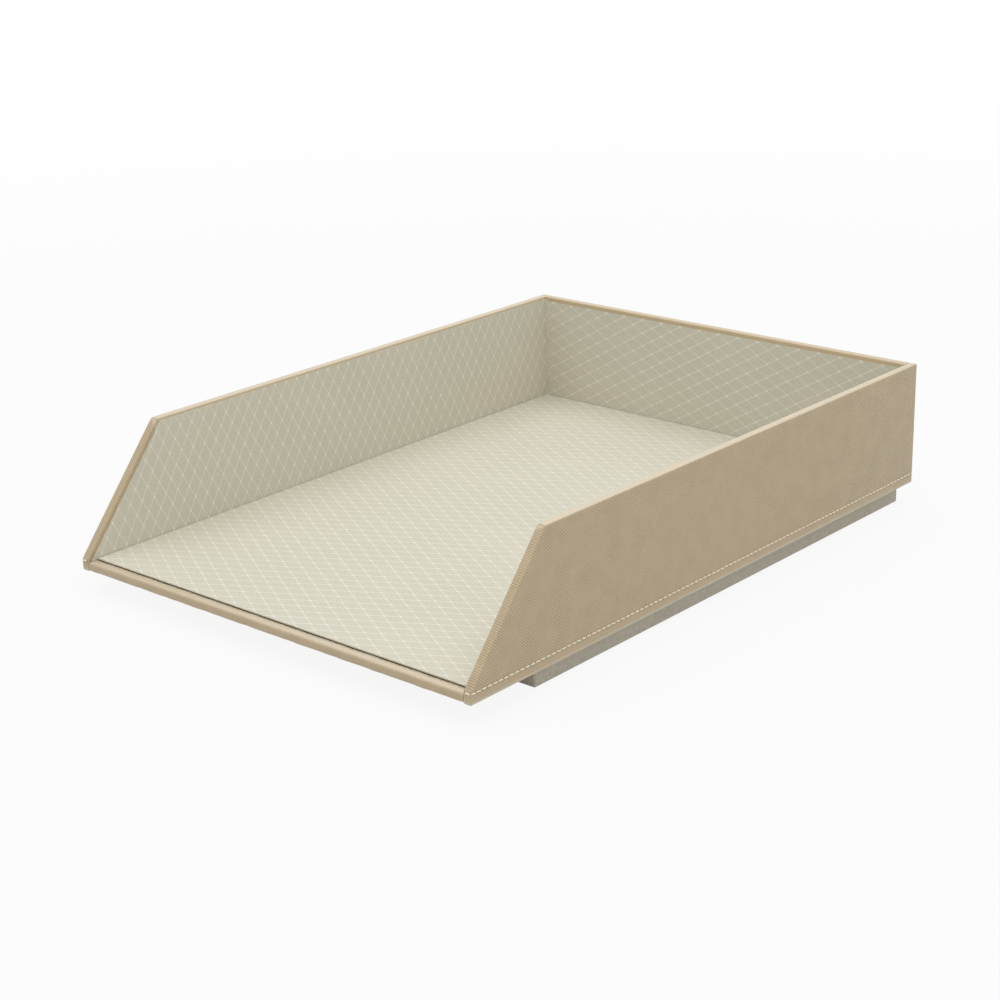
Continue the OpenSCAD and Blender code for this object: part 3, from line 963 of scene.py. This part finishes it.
def foot_run(props):
    """Length of the seam from a foot's inner edge to the flat part of the side."""
    return PANEL_T - props.rim_r - props.butt_r + props.rim_r * math.pi / 2


def first_hole(props):
    """Place along a side's sheet of the needle hole at the foot's inner edge."""
    return FRONT_Y + props.rim_r - foot_run(props)


def add_cover(name, node, points, faces, cloth, material):
    """Makes the piece that stands for a cover's node: a sheet that is thickened inward."""
    piece = add_piece(name, points, faces, material, cloth, node)
    shell = piece.modifiers.new("Thickness", "SOLIDIFY")
    shell.thickness = COVER_T
    shell.offset = -1.0


class TRAY_OT_wall_covers(bpy.types.Operator):
    """Wrap the three wall boards in leatherette"""

    bl_idname = "tray.wall_covers"
    bl_label = "Wall Covers"

    HEM_START = 2 * MM
    HEM_FULL = 0.4 * MM
    TOP_START = 0.4

    def execute(self, context):
        props = context.scene.letter_tray.cover
        rim, butt = props.rim_r, props.butt_r
        outer, inner = [rim] * 5, [butt, butt, rim, rim, butt]
        side = WrappedPanel(side_corners(), outer, inner, props, True)
        outer, inner = [rim, butt, rim, butt], [butt, butt, rim, butt]
        back = WrappedPanel(back_corners(), outer, inner, props, False)
        side.build()
        back.build()
        half = TRAY_W / 2
        walls = (
            ("left", side, lambda s, t, h: (h - half, s, BASE_Z + t), True, props.left_sheen),
            ("right", side, lambda s, t, h: (half - h, s, BASE_Z + t), False, props.right_sheen),
            ("back", back, lambda s, t, h: (s, BACK_Y - h, BASE_Z + t), True, props.back_sheen),
        )
        hole = first_hole(props)
        # Painted highlight along the walls' lower edges, and painted sheen along each wall's top
        hem = SheenBand(self.HEM_START, self.HEM_FULL, props.hem_sheen)
        for wall, panel, place, turned, sheen in walls:
            points = [place(*point) for point in panel.points]
            faces, cloth = panel.faces, panel.cloth
            if turned:
                faces = [face[::-1] for face in faces]
                cloth = [(2 * hole - s, t, fold) for s, t, fold in cloth]
            name = wall + "_wall_leatherette"
            # Painted sheen along this wall's top
            top = SheenBand(WALL_H - self.TOP_START * rim, WALL_H, sheen)
            material = leatherette(name, props, hole, 1.0, [top, hem])
            add_cover(name, wall + "_wall_cover", points, faces, cloth, material)
        return {"FINISHED"}


class TRAY_OT_lip_cover(bpy.types.Operator):
    """Wrap the floor board's underside and front edge in leatherette"""

    bl_idname = "tray.lip_cover"
    bl_label = "Lip and Underside Cover"

    ARC_STEPS = 8
    COLUMN_STEP = 2.5 * MM
    CLOSE_COLUMNS = (0.2 * MM, 0.5 * MM, 1 * MM)
    UNDERSIDE_STEPS = (0.02, 0.1, 0.3, 0.6, 1.0)
    END_REACH = 0.7 * MM
    TOP_TUCK = 0.25 * MM
    LOW_TUCK = 0.55 * MM
    GRAIN = 0.35
    RIPPLES = ((23.0 * MM, 0.4), (13.7 * MM, 2.1), (8.9 * MM, 4.4))
    RIPPLE_RUN = 14 * MM
    SHEEN_START = 0.3 * MM

    def section(self, props):
        """Points (Y, Z) of the sheet: along the lip's top, round its front, along the underside."""
        r = props.lip_r
        top, bottom = BASE_Z + LIP_H, BASE_Z
        back, bend = FRONT_Y + props.lip_w, FRONT_Y + r
        angles = [math.radians(90 * k / self.ARC_STEPS) for k in range(self.ARC_STEPS + 1)]
        points = [(back, top), (lerp(back, bend, 0.5), top)]
        points += [(bend - r * math.sin(a), top - r + r * math.cos(a)) for a in angles]
        points += [(bend - r * math.cos(a), bottom + r - r * math.sin(a)) for a in angles]
        points += [(lerp(bend, FLOOR_HIGH.y, share), bottom) for share in self.UNDERSIDE_STEPS]
        return points

    def ripple(self, x, run):
        """How far the soft cover dips at a place on the lip, from 0 to 1."""
        waves = 0.0
        for length, turn in self.RIPPLES:
            waves += math.sin(2 * math.pi * (x / length + run / self.RIPPLE_RUN) + turn)
        return 0.5 + 0.5 * waves / len(self.RIPPLES)

    def execute(self, context):
        props = context.scene.letter_tray.cover
        section = self.section(props)
        middle = (FRONT_Y + 2 * props.lip_r, BASE_Z + LIP_H / 2)
        shares = spaced(INNER_W, self.COLUMN_STEP, self.CLOSE_COLUMNS)
        points, cloth, faces = [], [], []
        for share in shares:
            x = lerp(-INNER_W / 2, INNER_W / 2, share)
            from_end = min(share, 1 - share) * INNER_W
            near_end = max(0.0, 1 - from_end / self.END_REACH) ** 2
            run = 0.0
            for k, (y, z) in enumerate(section):
                if k:
                    run += math.dist(section[k - 1], section[k])
                tuck = near_end * (self.LOW_TUCK if z < middle[1] else self.TOP_TUCK)
                tuck += self.ripple(x, run) * props.lip_ripple
                pull_y = tuck if y < middle[0] else 0.0
                pull_z = tuck if z < middle[1] else -tuck
                points.append((x, y + pull_y, z + pull_z))
                cloth.append((x, LIP_H - run, 0.0))
        rows = len(section)
        for c in range(len(shares) - 1):
            for k in range(rows - 1):
                a = c * rows + k
                faces.append((a, a + 1, a + rows + 1, a + rows))
        edge = LIP_H - props.lip_w
        # Painted sheen along the lip's top
        sheen = SheenBand(edge - self.SHEEN_START, edge + props.lip_r, props.lip_sheen)
        material = leatherette("lip_leatherette", props, first_hole(props), self.GRAIN, [sheen])
        add_cover("floor_leatherette", "floor_cover", points, faces, cloth, material)
        return {"FINISHED"}


class TRAY_OT_linings(bpy.types.Operator):
    """Line the walls and the floor with lattice paper"""

    bl_idname = "tray.linings"
    bl_label = "Linings"

    def execute(self, context):
        props = context.scene.letter_tray.lining
        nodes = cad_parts
        wall_x = INNER_W / 2
        side = lattice_paper(
            "side_lattice_paper", props, lambda x, y, z: (y - abs(x) + wall_x, z), props.side_dot,
            False, props.side_askew
        )
        back = lattice_paper(
            "back_lattice_paper", props, lambda x, y, z: (x, z), props.back_dot, True
        )
        floor = lattice_paper(
            "floor_lattice_paper", props, lambda x, y, z: (x, y - z), props.floor_dot, True
        )
        dress(nodes["left_lining"], side)
        dress(nodes["right_lining"], side)
        dress(nodes["back_lining"], back)
        dress(nodes["floor_lining"], floor)
        return {"FINISHED"}


class TRAY_OT_boards(bpy.types.Operator):
    """Finish the raw boards and cards inside the tray"""

    bl_idname = "tray.boards"
    bl_label = "Boards and Cards"

    def execute(self, context):
        props = context.scene.letter_tray.board
        board = fibre_board(props)
        card = raw_card("grey_card", props.card_colour, props.card_dark)
        # The dark card stands partly for the shade of the gap before the panel; its pale top band
        # is a painted highlight
        facing = props.panel_highlight, PANEL_LOW.z - props.panel_highlight_t
        panel_card = raw_card("dark_card", props.panel_card_and_shade, props.panel_dark_and_shade, facing)
        for name in BOARD_NODES:
            dress(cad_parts[name], board)
        for name in CARD_NODES:
            dress(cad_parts[name], card)
        dress(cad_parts["floor_panel_card"], panel_card)
        return {"FINISHED"}


class TRAY_OT_plinth(bpy.types.Operator):
    """Finish the plinth's paper band and the felt that it stands on"""

    bl_idname = "tray.plinth"
    bl_label = "Plinth"

    def execute(self, context):
        props = context.scene.letter_tray.plinth
        dress(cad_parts["plinth_wrap"], plinth_paper(props))
        dress(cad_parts["plinth_base_sheet"], base_felt(props))
        return {"FINISHED"}


class Leg(NamedTuple):
    """A straight run or a quarter turn of a path, and where and how it starts."""

    turns: bool
    start: float
    length: float
    place: Vector
    heading: Vector
    outward: Vector


class SeamPath:
    """A line along the foot of the walls: straight runs and quarter turns, by length."""

    def __init__(self, start, heading, outward):
        self.legs = []
        self.end = Vector((*start, 0.0))
        self.heading = Vector((*heading, 0.0))
        self.outward = Vector((*outward, 0.0))
        self.length = 0.0

    def add(self, turns, length):
        """Adds a leg at the path's end."""
        here = self.end.copy(), self.heading.copy(), self.outward.copy()
        self.legs.append(Leg(turns, self.length, length, *here))
        self.length += length

    def run(self, length):
        """Goes straight on."""
        self.add(False, length)
        self.end += self.heading * length

    def turn(self, radius):
        """A quarter turn away from the outward side."""
        self.add(True, radius * math.pi / 2)
        self.end += (self.heading - self.outward) * radius
        self.heading, self.outward = -self.outward, self.heading

    def at(self, s):
        """Place and outward direction at length s."""
        leg = next((leg for leg in self.legs if s <= leg.start + leg.length), self.legs[-1])
        along = s - leg.start
        if not leg.turns:
            return leg.place + leg.heading * along, leg.outward
        radius = leg.length / (math.pi / 2)
        angle = along / radius
        facing = leg.outward * math.cos(angle) + leg.heading * math.sin(angle)
        return leg.place + (facing - leg.outward) * radius, facing


class TRAY_OT_stitching(bpy.types.Operator):
    """Sew the thread along the foot of the side walls and the back wall"""

    bl_idname = "tray.stitching"
    bl_label = "Stitching"

    SIDES = 8
    RINGS = 9
    PLIES = 2
    PLY_DEPTH = 0.13
    TWISTS = 1.25
    END_TAPER = 0.3
    END_POWER = 5

    def stitch(self, path, start, end, height, props, depth):
        """Rings of points of one twisted stitch between two lengths along a path."""
        rings = []
        for k in range(self.RINGS):
            share = k / (self.RINGS - 1)
            place, outward = path.at(lerp(start, end, share))
            far = abs(2 * share - 1) ** self.END_POWER
            lift = props.rise - depth - (props.rise + props.dive) * far
            z = height + props.slant * (0.5 - share)
            size = props.radius * (1 - self.END_TAPER * far)
            ring = []
            for j in range(self.SIDES):
                angle = 2 * math.pi * j / self.SIDES
                twist = self.PLIES * (angle - 2 * math.pi * self.TWISTS * share)
                reach = size * (1 + self.PLY_DEPTH * math.cos(twist))
                point = place + outward * (lift + reach * math.cos(angle))
                ring.append((point.x, point.y, z + reach * math.sin(angle)))
            rings.append(ring)
        return rings

    def sew(self, name, path, first, settings, material):
        """One piece that holds a row of stitches; a needle hole lies at the given first length."""
        props, cover = settings.thread, settings.cover
        pitch = cover.stitch_pitch
        height = BASE_Z + cover.seam_height
        points, faces = [], []
        count = int((path.length - first) / pitch)
        for n in range(count):
            start = first + n * pitch + props.gap / 2
            end = start + pitch - props.gap
            rings = self.stitch(path, start, end, height, props, cover.seam_depth)
            base = len(points)
            points += [point for ring in rings for point in ring]
            for k in range(self.RINGS - 1):
                for j in range(self.SIDES):
                    a = base + k * self.SIDES + j
                    b = base + k * self.SIDES + (j + 1) % self.SIDES
                    faces.append((a, b, b + self.SIDES, a + self.SIDES))
            last = base + (self.RINGS - 1) * self.SIDES
            faces.append(tuple(range(base + self.SIDES - 1, base - 1, -1)))
            faces.append(tuple(range(last, last + self.SIDES)))
        add_piece(name, points, faces, material)

    def execute(self, context):
        settings = context.scene.letter_tray
        cover = settings.cover
        material = sewing_thread(settings.thread)
        radius = cover.rim_r
        straight = BACK_Y - FRONT_Y - 2 * radius
        end_run = PANEL_T - radius - cover.butt_r
        for name, sign in (("left", -1), ("right", 1)):
            path = SeamPath((sign * (INNER_W / 2 + cover.butt_r), FRONT_Y), (sign, 0), (0, -1))
            path.run(end_run)
            path.turn(radius)
            path.run(straight)
            path.turn(radius)
            path.run(end_run)
            self.sew(name + "_thread", path, 0.0, settings, material)
        path = SeamPath((-INNER_W / 2, BACK_Y), (1, 0), (0, 1))
        path.run(INNER_W)
        start = (INNER_W / 2 + first_hole(cover)) % cover.stitch_pitch
        self.sew("back_thread", path, start, settings, material)
        return {"FINISHED"}


class TRAY_OT_stage(bpy.types.Operator):
    """Set the floor, the soft light and the camera"""

    bl_idname = "tray.stage"
    bl_label = "Stage"

    FLOOR_REACH = 6.0
    FADE_START = 0.45
    FADE_END = 1.4
    LAMP_SIZE = 2.2
    LAMP_HEIGHT = 1.6
    LAMP_AWAY = 2.2
    FRONT_LAMP_TURN = math.radians(62)
    FRONT_LAMP_RISE = math.radians(50)
    FRONT_LAMP_SIZE = 1.5
    BACK_LAMP_RISE = math.radians(32)
    BACK_LAMP_SIZE = 1.2
    SENSOR_MM = 36.0

    def floor(self, props):
        """A wide pale floor, which turns plain white away from the tray."""
        finish = Finish("stage_floor", 0.9, 0.0)
        finish.set("Base Color", FLOOR_GREY)
        x, y, _ = finish.split(finish.place())
        away = (x * x + y * y).math("SQRT").ramp(self.FADE_START, self.FADE_END)
        plain = Value(finish, finish.shader.outputs[0])
        white = away * (1 - props.floor_white) + props.floor_white
        finish.whiten("Material Output", plain, "ShaderNodeEmission", white)
        reach = self.FLOOR_REACH
        mesh = bpy.data.meshes.new("stage_floor")
        corners = [(x * reach, y * reach, 0.0) for x, y in ((-1, -1), (1, -1), (1, 1), (-1, 1))]
        mesh.from_pydata(corners, [], [(0, 1, 2, 3)])
        floor = bpy.data.objects.new("stage_floor", mesh)
        bpy.context.scene.collection.objects.link(floor)
        mesh.materials.append(finish.material)

    def sky(self, scene, strength):
        """Even light from all round, seen as plain white."""
        scene.world = bpy.data.worlds.new("stage_sky")
        tree = Tree(scene.world)
        even = tree.made.nodes["Background"]
        even.inputs["Strength"].default_value = strength
        even.inputs["Color"].default_value = WHITE
        tree.whiten("World Output", Value(tree, even.outputs[0]), "ShaderNodeBackground", 1.0)

    def lamp(self, name, place, size, power):
        """A wide soft lamp that faces the tray."""
        light = bpy.data.lights.new(name, "AREA")
        light.shape = "SQUARE"
        light.size = size
        light.energy = power
        lamp = bpy.data.objects.new(name, light)
        lamp.location = place
        lamp.rotation_euler = Vector(place).to_track_quat("Z", "Y").to_euler()
        bpy.context.scene.collection.objects.link(lamp)

    def lamps(self, props):
        """A ceiling lamp, a front lamp beside the camera and a back lamp across from the camera."""
        self.lamp("ceiling_lamp", (0.0, 0.0, self.LAMP_HEIGHT), self.LAMP_SIZE, props.ceiling_power)
        place = self.towards(self.FRONT_LAMP_TURN, self.FRONT_LAMP_RISE) * self.LAMP_AWAY
        self.lamp("front_lamp", place, self.FRONT_LAMP_SIZE, props.front_power)
        place = self.towards(props.azimuth + math.pi, self.BACK_LAMP_RISE) * self.LAMP_AWAY
        self.lamp("back_lamp", place, self.BACK_LAMP_SIZE, props.back_power)

    @staticmethod
    def towards(azimuth, rise):
        """Direction from the tray: azimuth turns from the front to the right, and rise lifts it."""
        flat = math.cos(rise)
        return Vector((flat * math.sin(azimuth), -flat * math.cos(azimuth), math.sin(rise)))

    def camera(self, scene, props):
        """The camera at the picture's angle, turned about its own axis by the roll."""
        data = bpy.data.cameras.new("camera")
        data.sensor_width = self.SENSOR_MM
        data.lens = data.sensor_width * props.focal_pixels / props.picture_pixels
        camera = bpy.data.objects.new("camera", data)
        back = self.towards(props.azimuth, props.elevation)
        right = Vector((0, 0, 1)).cross(back).normalized()
        up = back.cross(right)
        cos, sin = math.cos(props.roll), math.sin(props.roll)
        right, up = right * cos + up * sin, up * cos - right * sin
        axes = Matrix((right, up, back)).transposed().to_4x4()
        camera.matrix_world = Matrix.Translation(Vector(props.aim) + back * props.distance) @ axes
        scene.collection.objects.link(camera)
        scene.camera = camera

    def execute(self, context):
        scene = context.scene
        props = scene.letter_tray.stage
        scene.view_settings.view_transform = "Standard"
        self.floor(props)
        self.sky(scene, props.sky)
        self.lamps(props)
        self.camera(scene, props)
        return {"FINISHED"}


MAKERS = (
    TRAY_OT_stage,
    TRAY_OT_wall_covers,
    TRAY_OT_lip_cover,
    TRAY_OT_linings,
    TRAY_OT_boards,
    TRAY_OT_plinth,
    TRAY_OT_stitching,
)


class TRAY_PT_panel(bpy.types.Panel):
    """Lists the tray's operators and settings"""

    bl_label = "Letter Tray"
    bl_idname = "TRAY_PT_panel"
    bl_space_type = "VIEW_3D"
    bl_region_type = "UI"
    bl_category = "Letter Tray"

    def draw(self, context):
        settings = context.scene.letter_tray
        for maker in MAKERS:
            self.layout.operator(maker.bl_idname)
        for name in TrayScene.__annotations__:
            group = getattr(settings, name)
            box = self.layout.box()
            box.label(text=name.capitalize())
            for key in group.__annotations__:
                box.prop(group, key)


CLASSES = (
    CoverSettings,
    LiningSettings,
    BoardSettings,
    PlinthSettings,
    ThreadSettings,
    StageSettings,
    TrayScene,
    *MAKERS,
    TRAY_PT_panel,
)


def register():
    """Adds the classes and the scene's settings."""
    for cls in CLASSES:
        bpy.utils.register_class(cls)
    bpy.types.Scene.letter_tray = bpy.props.PointerProperty(type=TrayScene)


def unregister():
    """Takes them away again."""
    del bpy.types.Scene.letter_tray
    for cls in reversed(CLASSES):
        bpy.utils.unregister_class(cls)


def main():
    """Builds the tray and its stage."""
    register()
    bpy.ops.tray.stage()
    bpy.ops.tray.wall_covers()
    bpy.ops.tray.lip_cover()
    bpy.ops.tray.linings()
    bpy.ops.tray.boards()
    bpy.ops.tray.plinth()
    bpy.ops.tray.stitching()
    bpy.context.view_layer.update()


if __name__ == "__main__":
    main()
